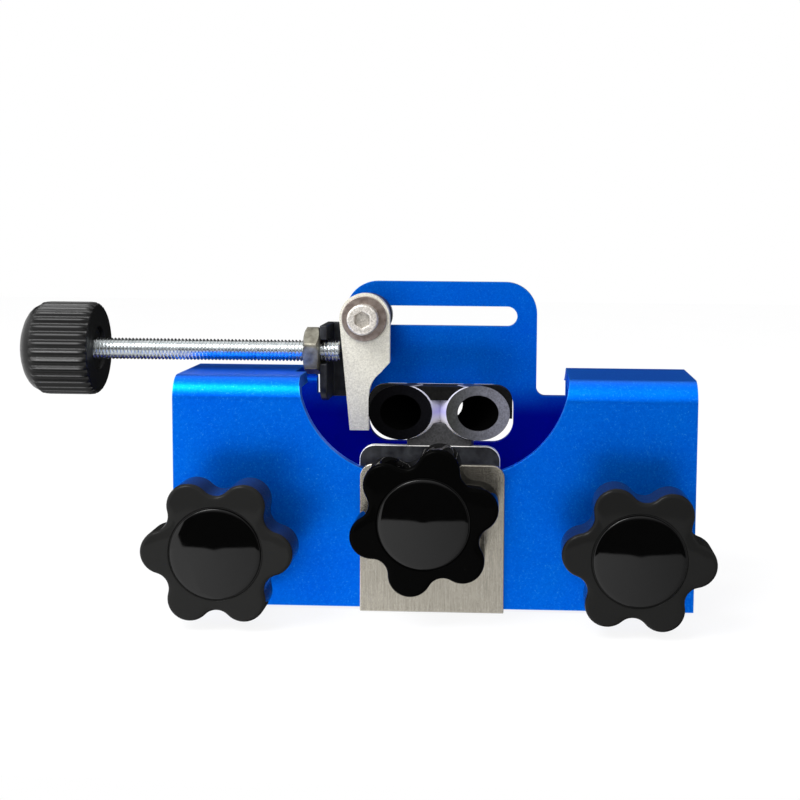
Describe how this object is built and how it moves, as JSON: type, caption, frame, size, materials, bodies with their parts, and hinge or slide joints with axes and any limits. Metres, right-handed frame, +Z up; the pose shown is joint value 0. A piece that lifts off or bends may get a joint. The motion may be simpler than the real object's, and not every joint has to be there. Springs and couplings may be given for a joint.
{
  "type": "chain sharpening jig",
  "caption": "Hand jig that clamps over a saw guide bar, with crossed guide bushings for a grinding burr, a swinging chain stop and a fine adjuster.",
  "frame": {"origin": "point where the axes of the two guide bushings cross", "axes": "+X to the right seen from the knobs, +Y away from the knobs, +Z up"},
  "size_m": [0.1882, 0.0705, 0.0856],
  "materials": {
    "blue_sheet": "satin",
    "stainless": "satin",
    "blasted_steel": "matte",
    "black_steel": "satin",
    "dark_steel": "satin",
    "zinc": "gloss",
    "dull_zinc": "satin",
    "gloss_black": "gloss",
    "ribbed_black": "satin",
    "black_rubber": "matte"
  },
  "bodies": {
    "frame": {"body": "blue_sheet", "body_inserts": "zinc", "rest_pads": "black_rubber", "pad_screws": "zinc"},
    "guide_head": {"guide_carrier": "black_steel", "guide_saddle": "dark_steel", "guide_wedge": "black_steel", "left_guide_bushing": "dark_steel", "right_guide_bushing": "dark_steel", "clamp_plate": "stainless"},
    "centre_clamp": {"centre_washer": "zinc"},
    "centre_screw": {"centre_knob": "gloss_black", "centre_stud": "zinc"},
    "left_clamp": {"left_foot": "dark_steel"},
    "left_screw": {"left_knob": "gloss_black", "left_stud": "zinc"},
    "right_clamp": {"right_foot": "dark_steel"},
    "right_screw": {"right_knob": "gloss_black", "right_stud": "zinc"},
    "stop_carriage": {"adjuster_bracket": "black_steel", "adjuster_nut": "dull_zinc", "stop_spacer": "dark_steel", "stop_bolt": "stainless", "stop_washer": "dull_zinc", "back_washer": "zinc", "stop_nut": "zinc"},
    "pawl": {"stop_pawl": "blasted_steel"},
    "adjuster_shaft": {"adjuster_rod": "zinc"},
    "adjuster_grip": {"adjuster_knob": "ribbed_black"}
  },
  "joints": [
    {"name": "guide_height", "type": "slide", "parent": "frame", "child": "guide_head", "axis": [0, 0, 1], "range_m": [-0.005, 0.0015]},
    {"name": "centre_clamp_feed", "type": "slide", "parent": "guide_head", "child": "centre_clamp", "axis": [0, 1, 0], "range_m": [-0.0031, 0]},
    {"name": "centre_knob_turn", "type": "hinge", "parent": "centre_clamp", "child": "centre_screw", "pos_m": [-0.0025, -0.03, -0.0251], "axis": [0, 1, 0], "range_deg": [-1080, 0]},
    {"name": "left_clamp_feed", "type": "slide", "parent": "frame", "child": "left_clamp", "axis": [0, 1, 0], "range_m": [-0.0051, 0.0051]},
    {"name": "left_knob_turn", "type": "hinge", "parent": "left_clamp", "child": "left_screw", "pos_m": [-0.0541, -0.03, -0.0326], "axis": [0, 1, 0], "range_deg": [-1800, 1800]},
    {"name": "right_clamp_feed", "type": "slide", "parent": "frame", "child": "right_clamp", "axis": [0, 1, 0], "range_m": [-0.0051, 0.0051]},
    {"name": "right_knob_turn", "type": "hinge", "parent": "right_clamp", "child": "right_screw", "pos_m": [0.0511, -0.03, -0.0326], "axis": [0, 1, 0], "range_deg": [-1800, 1800]},
    {"name": "stop_slide", "type": "slide", "parent": "frame", "child": "stop_carriage", "axis": [1, 0, 0], "range_m": [0, 0.025]},
    {"name": "pawl_swing", "type": "hinge", "parent": "stop_carriage", "child": "pawl", "pos_m": [-0.022, 0.0039, 0.0232], "axis": [0, -1, 0], "range_deg": [0, 60]},
    {"name": "rod_feed", "type": "slide", "parent": "stop_carriage", "child": "adjuster_shaft", "axis": [1, 0, 0], "range_m": [-0.0051, 0.0003]},
    {"name": "adjuster_turn", "type": "hinge", "parent": "adjuster_shaft", "child": "adjuster_grip", "pos_m": [-0.1015, 0.0039, 0.014], "axis": [1, 0, 0], "range_deg": [-1800, 90]}
  ],
  "couplings": [
    {"joint": "centre_clamp_feed", "follows": "centre_knob_turn", "m_per_rad": 0.00015915},
    {"joint": "left_clamp_feed", "follows": "left_knob_turn", "m_per_rad": 0.00015915},
    {"joint": "right_clamp_feed", "follows": "right_knob_turn", "m_per_rad": 0.00015915},
    {"joint": "rod_feed", "follows": "adjuster_turn", "m_per_rad": 0.00015915}
  ]
}
